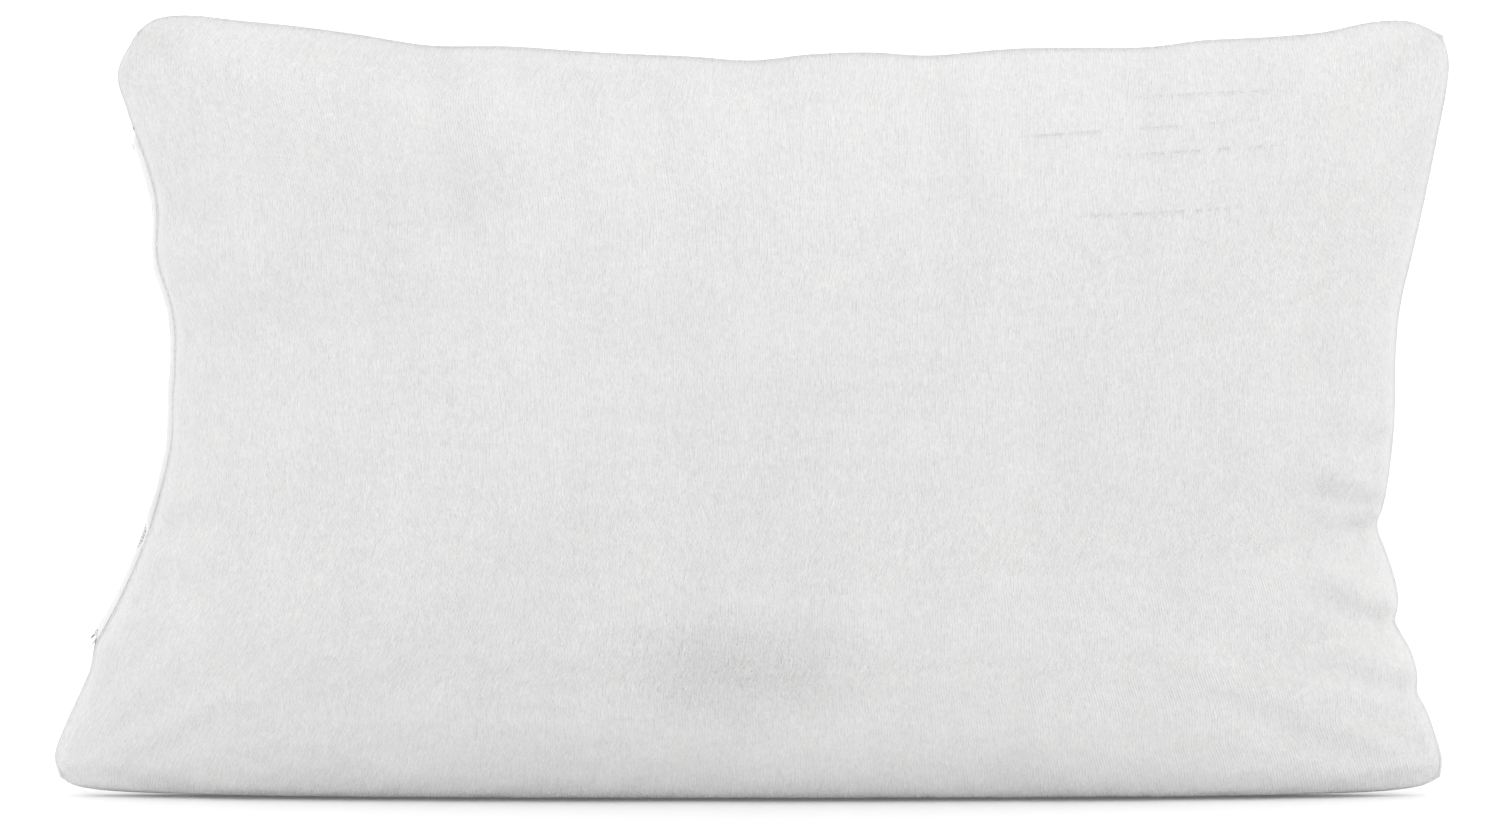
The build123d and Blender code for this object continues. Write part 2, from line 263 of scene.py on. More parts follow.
class Nodes:
    """A material's node tree, with short ways to add and join nodes."""

    def __init__(self, name, color, roughness, specular=0.3):
        self.material = bpy.data.materials.new(name)
        self.material.use_nodes = True
        self.tree = self.material.node_tree
        self.shader = self.tree.nodes["Principled BSDF"]
        self.set(self.shader, Base_Color=(*color, 1), Roughness=roughness, Specular_IOR_Level=specular)

    def feed(self, socket, value):
        """Links a node's output to the socket, or sets the socket's own value."""
        if isinstance(value, bpy.types.NodeSocket):
            self.tree.links.new(value, socket)
        else:
            socket.default_value = value

    def set(self, node, **values):
        for key, value in values.items():
            self.feed(node.inputs[key.replace("_", " ")], value)

    def add(self, kind, **values):
        node = self.tree.nodes.new("ShaderNode" + kind)
        self.set(node, **values)
        return node.outputs[0]

    def math(self, operation, *values):
        node = self.tree.nodes.new("ShaderNodeMath")
        node.operation = operation
        for socket, value in zip(node.inputs, values, strict=False):
            self.feed(socket, value)
        return node.outputs[0]

    def mix(self, share, first, second):
        """From the first colour to the second, as share goes from 0 to 1."""
        node = self.tree.nodes.new("ShaderNodeMix")
        node.data_type = "RGBA"
        self.feed(node.inputs[0], share)
        self.feed(node.inputs[6], (*first, 1))
        self.feed(node.inputs[7], (*second, 1))
        return node.outputs[2]

    def noise(self, vector, scale, detail=2.0, roughness=0.5):
        return self.add("TexNoise", Vector=vector, Scale=scale, Detail=detail, Roughness=roughness)

    def stretch(self, vector, scale):
        return self.add("Mapping", Vector=vector, Scale=scale)

    def bump(self, height, strength, distance, normal=None):
        values = {"Height": height, "Strength": strength, "Distance": distance}
        if normal is not None:
            values["Normal"] = normal
        return self.add("Bump", **values)

    def split(self, vector):
        node = self.tree.nodes.new("ShaderNodeSeparateXYZ")
        self.tree.links.new(vector, node.inputs[0])
        return node.outputs

    def falling(self, distance, reach):
        """1 where distance is 0, 0 at reach to either side, and below 0 past it."""
        return self.math("SUBTRACT", 1.0, self.math("MULTIPLY", self.math("ABSOLUTE", distance), 1 / reach))

    def spot(self, x, z, middle, reach):
        """1 in the middle of an upright oval, falling to 0 at its edge."""
        aside = self.math("MULTIPLY", self.math("SUBTRACT", x, middle[0]), 1 / reach[0])
        above = self.math("MULTIPLY", self.math("SUBTRACT", z, middle[1]), 1 / reach[1])
        square = self.math("ADD", self.math("MULTIPLY", aside, aside), self.math("MULTIPLY", above, above))
        return self.math("MAXIMUM", self.math("SUBTRACT", 1.0, square), 0.0)

    def place(self, kind="Object"):
        node = self.tree.nodes.new("ShaderNodeTexCoord")
        return node.outputs[kind]


WALE = 1.56 * MM
COURSE = 1.9 * MM

# Rows of faint dots where the pile was creased, in millimetres: from x to x, height, rise per length
CREASE_ROWS = ((187, 273, 352, 0.05), (127, 253, 332, 0.07), (177, 273, 323, 0.06), (157, 248, 293, 0.05))
CREASE_HALF_WIDTH = 1.3 * MM

# Where the pile is crumpled and where it is brushed: the middle (x, z) and how far each patch reaches
CRUMPLED_MIDDLE, CRUMPLED_REACH = (-5 * MM, 69 * MM), (85 * MM, 38 * MM)
BRUSHED_MIDDLE, BRUSHED_REACH = (-24 * MM, 310 * MM), (170 * MM, 66 * MM)


def velour():
    """Plush knit: rows of short pile along the wales, mottled where the pile lies another way, with painted glints
    in its fine nap.
    """
    n = Nodes("velour", (0.72, 0.72, 0.715), 0.95, 0.12)
    n.set(n.shader, Sheen_Weight=0.35, Sheen_Roughness=0.45)
    uv = n.place("UV")
    place = n.place("Object")
    drift = n.noise(n.stretch(uv, (30, 9, 1)), 1.0, 2.0)
    u, _, _ = n.split(uv)
    x, _, z = n.split(place)
    across = n.math("ADD", u, n.math("MULTIPLY", n.math("SUBTRACT", drift, 0.5), 1.4 * WALE))
    wales = n.math("SINE", n.math("MULTIPLY", across, 2 * np.pi / WALE))
    wales = n.math("MULTIPLY_ADD", wales, 0.5, 0.5)
    along = n.noise(n.stretch(uv, (1 / WALE, 0.55 / COURSE, 1)), 1.0, 2.0, 0.6)
    # fine specks of nap: real pile as a bump, and in the colour also painted glints of the pile's sheen
    nap_and_glint = n.noise(n.stretch(place, (1, 1, 0.45)), 1500.0, 2.0, 0.7)
    tufts = n.noise(place, 330.0, 3.0, 0.65)
    patch = n.noise(n.stretch(place, (1, 1, 0.7)), 26.0, 3.0, 0.6)
    broad = n.noise(place, 7.0, 2.0)
    crumpled = n.noise(place, 260.0, 4.0, 0.75)
    brushed = n.noise(n.stretch(place, (70, 70, 16)), 1.0, 3.0, 0.6)
    in_patch = n.spot(x, z, CRUMPLED_MIDDLE, CRUMPLED_REACH)
    in_brushed = n.spot(x, z, BRUSHED_MIDDLE, BRUSHED_REACH)
    height = n.math("ADD", n.math("MULTIPLY", wales, 0.45), n.math("MULTIPLY", along, 0.55))
    height = n.math("ADD", height, n.math("MULTIPLY", tufts, 1.1))
    height = n.math("ADD", height, n.math("MULTIPLY", nap_and_glint, 0.5))
    dots = n.math("GREATER_THAN", n.noise(n.stretch(place, (260, 40, 40)), 1.0, 1.0), 0.46)
    for start, end, level, slope in CREASE_ROWS:
        from_row = n.math("SUBTRACT", z, n.math("MULTIPLY_ADD", x, slope, (level - slope * start) * MM))
        from_middle = n.math("SUBTRACT", x, (start + end) / 2 * MM)
        row = n.math("MAXIMUM", n.falling(from_row, CREASE_HALF_WIDTH), 0.0)
        reach = n.math("MAXIMUM", n.falling(from_middle, (end - start) * MM / 2), 0.0)
        mark = n.math("MULTIPLY", row, n.math("MINIMUM", reach, 0.3))
        height = n.math("SUBTRACT", height, n.math("MULTIPLY", n.math("MULTIPLY", mark, dots), 4.0))
    soft = n.bump(patch, 0.4, 3.4 * MM)
    soft = n.bump(n.math("MULTIPLY", crumpled, in_patch), 1.0, 2.2 * MM, soft)
    soft = n.bump(n.math("MULTIPLY", brushed, in_brushed), 0.8, 2.6 * MM, soft)
    normal = n.bump(height, 0.9, 0.7 * MM, soft)
    tone = n.math("ADD", n.math("MULTIPLY", tufts, 0.4), n.math("MULTIPLY", along, 0.25))
    tone = n.math("ADD", tone, n.math("MULTIPLY", patch, 0.22))
    tone = n.math("ADD", tone, n.math("MULTIPLY", broad, 0.2))
    tone = n.math("ADD", n.math("MULTIPLY", n.math("SUBTRACT", wales, 0.5), 0.07), tone)
    # painted glints: the nap's fine specks lighten and darken the colour, standing in for the pile's sheen
    # catching the light
    tone = n.math("ADD", n.math("MULTIPLY", n.math("SUBTRACT", nap_and_glint, 0.5), 0.55), tone)
    n.set(n.shader, Base_Color=n.mix(tone, (0.55, 0.552, 0.558), (0.87, 0.868, 0.862)), Normal=normal)
    return n.material


def woven(name, color, pitch, roughness=0.9, depth=0.25):
    """A plain weave seen from close by."""
    n = Nodes(name, color, roughness, 0.2)
    place = n.place()
    cross, warp, weft = (
        n.math("SINE", n.math("MULTIPLY", axis, 2 * np.pi / pitch)) for axis in n.split(place)
    )
    weave = n.math("ADD", n.math("MULTIPLY", warp, weft), n.math("MULTIPLY", warp, cross))
    weave = n.math("MULTIPLY_ADD", weave, 0.25, 0.5)
    fuzz = n.noise(place, 900.0, 2.0)
    height = n.math("ADD", weave, n.math("MULTIPLY", fuzz, 0.4))
    dark = tuple(0.86 * c for c in color)
    n.set(n.shader, Base_Color=n.mix(height, dark, color), Normal=n.bump(height, 0.5, depth * MM))
    n.set(n.shader, Sheen_Weight=0.2)
    return n.material


def twisted(name, color):
    """Sewing thread: a fine slanting twist."""
    n = Nodes(name, color, 0.6, 0.35)
    x, y, z = n.split(n.place())
    slant = n.math("ADD", z, n.math("ADD", y, x))
    twist = n.math("SINE", n.math("MULTIPLY", slant, 2 * np.pi / (0.45 * MM)))
    twist = n.math("MULTIPLY_ADD", twist, 0.5, 0.5)
    dark = tuple(0.84 * c for c in color)
    n.set(n.shader, Base_Color=n.mix(twist, dark, color), Normal=n.bump(twist, 0.6, 0.1 * MM))
    return n.material


def nylon():
    n = Nodes("nylon", (0.84, 0.84, 0.83), 0.38, 0.5)
    place = n.place()
    wear = n.noise(place, 420.0, 2.0)
    n.set(n.shader, Base_Color=n.mix(wear, (0.76, 0.76, 0.75), (0.9, 0.9, 0.89)))
    n.set(n.shader, Subsurface_Weight=0.08, Normal=n.bump(wear, 0.15, 0.05 * MM))
    return n.material


def zinc():
    """Die-cast zinc with a nickel finish: fine brushing and worn spots."""
    n = Nodes("zinc", (0.7, 0.7, 0.71), 0.3, 0.5)
    n.set(n.shader, Metallic=1.0)
    place = n.place()
    brushed = n.noise(n.stretch(place, (900, 9000, 900)), 1.0, 2.0)
    worn = n.noise(place, 260.0, 3.0)
    rough = n.math("ADD", n.math("MULTIPLY", brushed, 0.18), n.math("MULTIPLY_ADD", worn, 0.2, 0.16))
    n.set(n.shader, Base_Color=n.mix(worn, (0.6, 0.6, 0.61), (0.82, 0.82, 0.83)), Roughness=rough)
    n.set(n.shader, Normal=n.bump(brushed, 0.2, 0.03 * MM))
    return n.material


def loose_fibre():
    n = Nodes("fibre", (0.92, 0.92, 0.91), 1.0, 0.1)
    place = n.place()
    curls = n.noise(n.stretch(place, (120, 120, 60)), 1.0, 5.0, 0.7)
    n.set(n.shader, Base_Color=n.mix(curls, (0.8, 0.8, 0.79), (0.95, 0.95, 0.94)))
    n.set(n.shader, Sheen_Weight=0.4, Normal=n.bump(curls, 0.9, 3 * MM))
    return n.material


MATERIALS = {
    "velour": velour(),
    "lip_fabric": woven("lip_fabric", (0.9, 0.9, 0.895), 0.9 * MM),
    "tape": woven("tape", (0.86, 0.86, 0.85), 0.8 * MM),
    "nylon": nylon(),
    "zinc": zinc(),
    "thread": twisted("thread", (0.9, 0.9, 0.89)),
    "label": woven("label", (0.93, 0.93, 0.92), 0.5 * MM, 0.6, 0.1),
    "cotton": woven("cotton", (0.9, 0.9, 0.88), 0.6 * MM),
    "fibre": loose_fibre(),
}


def dress_frame():
    """Gives every CAD node that stays its own material."""
    for part in frame["record"]["subparts"]:
        node = frame["nodes"][part["node"]]
        node.data.materials.clear()
        node.data.materials.append(MATERIALS[part["material_slot"]])


# The two panels


def zip_opening(points):
    """1 on the left edge between the zip's ends, 0 elsewhere, with short ramps."""
    angle = np.degrees(np.arctan2(points[..., 2] - ZIP_AXIS[2], points[..., 0] - ZIP_AXIS[0]))
    return ramp(angle, ZIP_LOW - 0.9, ZIP_LOW) * (1 - ramp(angle, ZIP_HIGH, ZIP_HIGH + 0.9))


def edge_reach(height):
    """How far from the zip's axis the front panel's edge is: one soft bulge, and drawn in lower down."""
    bulge = BULGE * np.exp(-(((height - BULGE_HEIGHT) / BULGE_SPAN) ** 2))
    return ZIP_RADIUS - bulge + DRAWN_IN * (1 - ramp(height, DRAWN_TO, DRAWN_FROM))


def beside_zip(line):
    """The left side's points, moved beside the zip's arc between its ends."""
    middle = ZIP_AXIS[[0, 2]]
    arc = line - middle
    reach = np.linalg.norm(arc, axis=1)
    angle = np.degrees(np.arctan2(arc[:, 1], arc[:, 0]))
    share = ramp(angle, ZIP_LOW - 3, ZIP_LOW) * (1 - ramp(angle, ZIP_HIGH, ZIP_HIGH + 3))
    return middle + arc * (1 + share * (edge_reach(line[:, 1]) / reach - 1))[:, None]


def seam_grid():
    """Points over the whole seam plane, from its four sides: columns go right, rows go up."""
    left, right = beside_zip(smooth_path(LEFT, ROWS)), smooth_path(RIGHT, ROWS)
    bottom, top = smooth_path(BOTTOM, COLUMNS), smooth_path(TOP, COLUMNS)
    u = np.linspace(0, 1, COLUMNS)[:, None, None]
    v = np.linspace(0, 1, ROWS)[None, :, None]
    edges = (1 - v) * bottom[:, None] + v * top[:, None] + (1 - u) * left[None] + u * right[None]
    corners = (1 - u) * ((1 - v) * bottom[0] + v * top[0]) + u * ((1 - v) * bottom[-1] + v * top[-1])
    flat = edges - corners
    return np.stack([flat[..., 0], np.zeros(flat.shape[:2]), flat[..., 1]], axis=-1)


def start_shapes():
    """The two panels before they are filled, and the same as they were cut."""
    plane = seam_grid()
    u = np.linspace(-1, 1, COLUMNS)[:, None]
    v = np.linspace(-1, 1, ROWS)[None, :]
    swell = START_DEPTH * np.sqrt(np.clip((1 - np.abs(u) ** 3) * (1 - np.abs(v) ** 2.4), 0, 1))
    front, back = plane.copy(), plane.copy()
    front[..., 1] = -swell
    back[..., 1] = swell
    opening = zip_opening(plane[0])
    back[0, :, 1] = WINDOW * opening
    arc = plane[0] - ZIP_AXIS
    too_deep = np.maximum(np.linalg.norm(arc, axis=1) / ZIP_RADIUS, 1)
    back[0] -= arc * (opening * (1 - 1 / too_deep))[:, None]
    fade = np.exp(-np.arange(COLUMNS) / 3.0)[:, None] * opening[None]
    back[1:, :, 1] += (WINDOW * 0.9 * fade)[1:]
    cut = np.zeros_like(plane)
    cut[..., 0] = u * (CUT_WIDTH_ENDS + (CUT_WIDTH - CUT_WIDTH_ENDS) * (1 - np.abs(v) ** 2.5)) / 2
    cut[..., 2] = v * (CUT_HEIGHT_ENDS + (CUT_HEIGHT - CUT_HEIGHT_ENDS) * (1 - np.abs(u) ** 2.5)) / 2
    cut_back = cut.copy()
    cut_back[0, :, 1] = back[0, :, 1]
    return front, back, cut, cut_back


def panel_index():
    """Vertex numbers of the front and the back panel, which share their seam except at the zip."""
    front = np.arange(COLUMNS * ROWS).reshape(COLUMNS, ROWS)
    back = -np.ones_like(front)
    opening = zip_opening(seam_grid()[0]) > 0.02
    shared = np.zeros_like(front, bool)
    shared[0, :] = ~opening
    shared[-1, :] = shared[:, 0] = shared[:, -1] = True
    back[shared] = front[shared]
    back[~shared] = front.size + np.arange((~shared).sum())
    return front, back, shared


def cells(index, flip):
    a, b, c, d = index[:-1, :-1], index[1:, :-1], index[1:, 1:], index[:-1, 1:]
    quads = np.stack([a, b, c, d], axis=-1).reshape(-1, 4)
    return quads[:, ::-1] if flip else quads


def fill_pillow():
    """Fills the sewn cover by cloth simulation and gives the two panels' grids of points."""
    front, back, cut, cut_back = start_shapes()
    index, back_index, shared = panel_index()
    total = back_index.max() + 1
    start, flat = np.zeros((total, 3)), np.zeros((total, 3))
    for grid, rest, numbers in ((back, cut_back, back_index), (front, cut, index)):
        start[numbers.ravel()] = grid.reshape(-1, 3)
        flat[numbers.ravel()] = rest.reshape(-1, 3)
    faces = [tuple(q) for q in cells(index, False)] + [tuple(q) for q in cells(back_index, True)]
    for j in range(ROWS - 1):
        strip = [index[0, j], index[0, j + 1], back_index[0, j + 1], back_index[0, j]]
        strip = list(dict.fromkeys(strip))
        if len(strip) > 2:
            faces.append(tuple(strip))
    cover = new_object("filling_cover", start, faces, MATERIALS["velour"])
    cover.shape_key_add(name="filled")
    key = cover.shape_key_add(name="cut")
    key.data.foreach_set("co", flat.ravel())
    pins = cover.vertex_groups.new(name="seam")
    edge = np.zeros_like(shared)
    edge[0], edge[-1], edge[:, 0], edge[:, -1] = True, True, True, True
    held = np.unique(np.concatenate([index[edge], back_index[edge]]))
    pins.add([int(k) for k in held], 1.0, "REPLACE")
    result = simulate(cover, key)
    bpy.data.objects.remove(cover)
    return result[index], result[back_index]


def simulate(cover, key):
    cloth = cover.modifiers.new("Cloth", "CLOTH")
    s = cloth.settings
    s.quality = 5
    s.mass = 0.03
    s.tension_stiffness = s.compression_stiffness = 22
    s.shear_stiffness = 9
    s.bending_stiffness = 1.6
    s.tension_damping = s.compression_damping = s.shear_damping = 12
    s.bending_damping = 2
    s.air_damping = 1
    s.use_pressure = True
    s.uniform_pressure_force = 8
    s.rest_shape_key = key
    s.vertex_group_mass = "seam"
    s.effector_weights.gravity = 0
    cloth.collision_settings.use_self_collision = False
    cloth.point_cache.frame_start = 1
    cloth.point_cache.frame_end = CLOTH_FRAMES
    scene = bpy.context.scene
    for step in range(1, CLOTH_FRAMES + 1):
        scene.frame_set(step)
    filled = cover.evaluated_get(bpy.context.evaluated_depsgraph_get()).data
    points = np.zeros(len(filled.vertices) * 3)
    filled.vertices.foreach_get("co", points)
    scene.frame_set(1)
    return points.reshape(-1, 3)


def settle(points):
    """The pillow flattens softly where it stands on the floor."""
    out = points.copy()
    z = points[..., 2]
    out[..., 2] = np.maximum(0.5 * (z + np.sqrt(z * z + FLOOR_SOFTNESS**2)) - FLOOR_SINK, 0.3 * MM)
    return out


def valley(x, z, x0, z0, x1, z1, depth, width):
    """A soft valley along a short line, which fades towards its far end."""
    along = np.array([x1 - x0, z1 - z0], float)
    length = np.hypot(*along)
    along /= length
    t = (x - x0) * along[0] + (z - z0) * along[1]
    aside = (x - x0) * along[1] - (z - z0) * along[0]
    past = np.maximum(np.maximum(-t, t - length), 0)
    spread = width * (1 + 0.5 * np.clip(t / length, 0, 1))
    ridge = 0.45 * np.exp(-(((np.abs(aside) - 2 * spread) / spread) ** 2))
    return -depth * (np.exp(-((aside / spread) ** 2)) - ridge) * np.exp(-((past / (2 * width)) ** 2))


def rumple(grid, valleys, seed):
    """Adds the cloth's folds, tucks and unevenness to a smooth panel, none of it on the seam itself."""
    columns, rows = grid.shape[:2]
    x, z = grid[..., 0] / MM, grid[..., 2] / MM
    height = sum(valley(x, z, *line) for line in valleys)
    uneven = np.zeros(grid.shape[:2])
    gather = np.zeros(grid.shape[:2])
    for i in range(columns):
        for j in range(rows):
            p = Vector((x[i, j], z[i, j], seed))
            uneven[i, j] = sum(depth * noise.noise(p / size) for depth, size in UNEVEN)
            gather[i, j] = noise.noise(p / 9)
    i, j = np.arange(columns)[:, None], np.arange(rows)[None, :]
    from_seam = CELL * np.minimum(np.minimum(i, columns - 1 - i), np.minimum(j, rows - 1 - j))
    height = height + uneven + 0.9 * gather * np.exp(-(((from_seam - 9) / 9.0) ** 2))
    height *= ramp(from_seam, 0.0, 9.0) * ramp(z, 0, 12)
    normal = np.cross(np.gradient(grid, axis=0), np.gradient(grid, axis=1))
    normal /= np.linalg.norm(normal, axis=2)[..., None]
    outwards = np.sign((normal[..., 1] * np.sign(grid[..., 1].mean())).mean())
    return grid + normal * (outwards * height * MM)[..., None]


def refine(grid):
    """A finer grid on the same smooth surface."""
    return between(between(grid).transpose(1, 0, 2)).transpose(1, 0, 2)


def between(grid):
    """Adds a smooth midpoint between each two rows of points."""
    padded = np.concatenate([2 * grid[:1] - grid[1:2], grid, 2 * grid[-1:] - grid[-2:-1]])
    middle = (9 * (padded[1:-2] + padded[2:-1]) - padded[:-3] - padded[3:]) / 16
    out = np.empty((2 * len(grid) - 1, *grid.shape[1:]))
    out[0::2], out[1::2] = grid, middle
    return out


def panel(name, grid, flip, node):
    """One velour panel as a thin closed piece, with the cloth's own coordinates for its knit."""
    columns, rows = grid.shape[:2]
    piece = new_object(name, grid.reshape(-1, 3), grid_faces(columns, rows, flip), MATERIALS["velour"])
    layer = piece.data.uv_layers.new(name="cloth")
    loops = np.zeros(len(piece.data.loops), int)
    piece.data.loops.foreach_get("vertex_index", loops)
    u = (loops // rows) / (columns - 1) * CUT_WIDTH
    v = (loops % rows) / (rows - 1) * CUT_HEIGHT
    layer.data.foreach_set("uv", np.stack([u, v], axis=1).ravel())
    thicken(piece, CLOTH_WALL)
    finish_piece(piece, "pillow", "velour", node)


front_grid, back_grid = fill_pillow()
front_grid = rumple(refine(settle(front_grid)), FRONT_VALLEYS, 3.7)
back_grid = rumple(refine(settle(back_grid)), BACK_VALLEYS, 61.2)
panel("cover_front", front_grid, False, "cover_front_panel")
panel("cover_back", back_grid, True, "cover_back_panel")


# Liner, filling and seams inside


def inside(grid, edge, depth):
    """The panel's shape taken in towards the middle, on a coarser grid."""
    share = 1 - np.array([edge, depth, edge]) / HALF_SIZE
    return PILLOW_CENTRE + (grid[::4, ::4] - PILLOW_CENTRE) * share


def soft_inside():
    """The liner's two panels, and the filling as one closed form."""
    for name, grid, flip, node in (
        ("liner_front", front_grid, False, "liner_front_panel"),
        ("liner_back", back_grid, True, "liner_back_panel"),
    ):
        shell = inside(grid, LINER_EDGE, LINER_DEPTH)
        columns, rows = shell.shape[:2]
        piece = new_object(name, shell.reshape(-1, 3), grid_faces(columns, rows, flip), MATERIALS["cotton"])
        thicken(piece, LINER_WALL)
        finish_piece(piece, "pillow", "cotton", node)
    front, back = (inside(grid, FILLING_EDGE, FILLING_DEPTH) for grid in (front_grid, back_grid))
    columns, rows = front.shape[:2]
    count = columns * rows
    quads = [tuple(q) for q in grid_faces(columns, rows)]
    quads += [tuple(q + count) for q in grid_faces(columns, rows, True)]
    rim = [i * rows for i in range(columns)] + [(columns - 1) * rows + j for j in range(1, rows)]
    rim += [i * rows + rows - 1 for i in range(columns - 2, -1, -1)] + list(range(rows - 2, 0, -1))
    for a, b in zip(rim, rim[1:] + rim[:1]):
        quads.append((b, a, a + count, b + count))
    points = np.concatenate([front.reshape(-1, 3), back.reshape(-1, 3)])
    fill = new_object("filling", points, quads, MATERIALS["fibre"])
    finish_piece(fill, "pillow", "fibre", "fibre_fill")


def seam_loop(inwards):
    """The seam's line, taken in from the panels' edge, from the middle of the top all the way round."""
    plane = seam_grid()
    loop = np.concatenate([plane[:-1, 0], plane[-1, :-1], plane[:0:-1, -1], plane[0, :0:-1]])
    share = 1 - np.array([inwards, 0, inwards]) / HALF_SIZE
    loop = PILLOW_CENTRE + (loop - PILLOW_CENTRE) * share
    loop[:, 2] = np.maximum(loop[:, 2], inwards)
    top = np.argmin(np.abs(loop[:, 0]) + (loop[:, 2] < PILLOW_CENTRE[2]))
    return np.roll(loop, -top, axis=0)


def stretch_of(loop, wanted):
    """The one unbroken stretch of a closed line where wanted holds."""
    start = next(k for k in range(len(loop)) if wanted[k] and not wanted[k - 1])
    order = np.roll(np.arange(len(loop)), -start)
    return loop[order[: np.argmin(wanted[order])]]


def whip(line, reach, pitch):
    """A whip stitch over an edge along a line."""
    length = lengths_along(line)[-1]
    t = np.linspace(0, length, int(length / pitch) * 10)
    path = points_at(line, t)
    phase = 2 * np.pi * t / pitch
    path[:, 1] += reach * np.cos(phase)
    path[:, 2] += 0.9 * MM * np.sin(phase)
    return path


def seam_threads():
    """The cover's seam, the liner's seam and the whipped stretch that closes the liner."""
    cover, liner = seam_loop(COVER_SEAM_EDGE), seam_loop(LINER_EDGE)
    closing = (np.abs(liner[:, 0]) < CLOSING_HALF) & (liner[:, 2] > CLOSING_ABOVE)
    for name, path, node in (
        ("cover_seam", stretch_of(cover, zip_opening(cover) < 0.5), "cover_seam_thread"),
        ("liner_seam", stretch_of(liner, ~closing), "liner_seam_thread"),
        ("liner_closing", whip(stretch_of(liner, closing), 1.6 * MM, 4 * MM), "liner_closing_stitch"),
    ):
        finish_piece(tube(name, path, THREAD, MATERIALS["thread"]), "pillow", "thread", node)


# The zip's own parts

COIL_MIDDLE = ZIP_RADIUS + 0.5 * MM
COIL_RISE, COIL_REACH = 0.75 * MM, 1.05 * MM
COIL_WIRE = 0.33 * MM
COIL_PITCH = 1.7 * MM
COIL_CLOSED, COIL_OPEN = 1.45 * MM, 2.2 * MM
COIL_END = 0.5
POST_ANGLE = ZIP_HIGH - 1.53

# How far across the zip the tapes start and end, and half the gap that they leave under the coils
TAPE_START, TAPE_END, TAPE_GAP = 1.85 * MM, WINDOW + 1 * MM, 0.8 * MM

# The lip: its hidden inner edge, how far it stands proud and how much that varies
LIP_INNER, LIP_PROUD, LIP_WAVE, LIP_SWAY = ZIP_RADIUS + 3.2 * MM, 2.8 * MM, 0.9 * MM, 0.7 * MM
LIP_TUCK_HEIGHT, LIP_TUCK_SPAN = 0.132, 0.006


def coil(side):
    """One nylon coil: closed against the other below the slider's post, spread above it."""
    low, high = ZIP_LOW + COIL_END, ZIP_HIGH - COIL_END
    length = np.radians(high - low) * COIL_MIDDLE
    turns = int(length / COIL_PITCH)
    t = np.linspace(0, 1, turns * 12)
    phase = 2 * np.pi * turns * t + (0 if side < 0 else np.pi)
    angle = low + (high - low) * t
    aside = COIL_CLOSED + (COIL_OPEN - COIL_CLOSED) * ramp(angle, POST_ANGLE - 0.5, POST_ANGLE + 0.1)
    across = ZIP_MIDDLE + side * aside - side * COIL_REACH * np.cos(phase)
    return on_zip(COIL_MIDDLE + COIL_RISE * np.sin(phase), across, angle)


def waver(height, scale, y, z):
    """Smooth unevenness along the zip, from -1 to 1."""
    return np.array([noise.noise(Vector((h * scale, y, z))) for h in height])


def lip():
    """The folded strip along the front panel's edge, over the zip, with a wavy outer edge."""
    steps = 330
    angle = np.linspace(ZIP_LOW - 0.3, ZIP_HIGH + 0.3, steps)
    height = ZIP_AXIS[2] + ZIP_RADIUS * np.sin(np.radians(angle))
    wave = waver(height, 62, 0.3, 0.7) + 0.6 * waver(height, 150, 4.1, 0)
    sway = waver(height, 48, 9.3, 2.7)
    ends = ramp(angle, ZIP_LOW - 0.3, ZIP_LOW + 1.5) * (1 - ramp(angle, ZIP_HIGH - 1.5, ZIP_HIGH + 0.3))
    tucked = 1 - 0.8 * np.exp(-(((height - LIP_TUCK_HEIGHT) / LIP_TUCK_SPAN) ** 2))
    outer = edge_reach(height) - (LIP_PROUD + LIP_WAVE * wave) * ends * tucked
    inner = np.full(steps, LIP_INNER)
    turn = np.linspace(0, 2 * np.pi, 14, endpoint=False)
    along_r = np.sign(np.cos(turn)) * np.abs(np.cos(turn)) ** 0.35
    along_y = np.sign(np.sin(turn)) * np.abs(np.sin(turn)) ** 0.6
    middle, half = (inner + outer)[:, None] / 2, (inner - outer)[:, None] / 2
    reach = middle + half * along_r
    out_share = np.clip((inner[:, None] - reach) / (inner - outer)[:, None], 0, 1)
    across = 0.9 * MM + 0.85 * MM * along_y + (LIP_SWAY * sway * ends)[:, None] * out_share
    points = on_zip(reach, across, angle[:, None]).reshape(-1, 3)
    faces = ring_faces(steps, len(turn)) + end_caps(steps, len(turn))
    return new_object("lip", points, faces, MATERIALS["lip_fabric"])


def tape(name, near, far):
    """A woven tape under its coil, from near to far across the zip, folded away at its ends."""
    angle = np.linspace(ZIP_LOW - 1.1, ZIP_HIGH + 1.1, 240)
    past = np.maximum(np.maximum(ZIP_LOW - angle, angle - ZIP_HIGH), 0)
    tuck = 1 - 0.95 * ramp(past, 0, 1.1)
    corners = ((0.0, near), (0.0, far), (TAPE_WALL, far), (TAPE_WALL, near))
    points = np.stack([on_zip(TAPE_FACE + rise, across * tuck, angle) for rise, across in corners], axis=1)
    faces = ring_faces(len(angle), len(corners)) + end_caps(len(angle), len(corners))
    return new_object(name, points.reshape(-1, 3), faces, MATERIALS["tape"], smooth=False)


def stitch_rows():
    """Dashes of thread that hold the tapes, on each panel just beside the window."""
    dashes = []
    for grid in (front_grid, back_grid):
        edge, next_in = grid[0], grid[1]
        inwards = next_in - edge
        line = edge + inwards / np.linalg.norm(inwards, axis=1)[:, None] * STITCH_INSET
        line = line[zip_opening(edge) > 0.98]
        last = lengths_along(line)[-1] - STITCH_LENGTH
        for start in np.arange(1 * MM, last, STITCH_LENGTH + STITCH_GAP):
            path = points_at(line, np.linspace(start, start + STITCH_LENGTH, 5))
            dashes.append(tube("dash", path, THREAD, MATERIALS["thread"]))
    return join("stitch_rows", dashes)


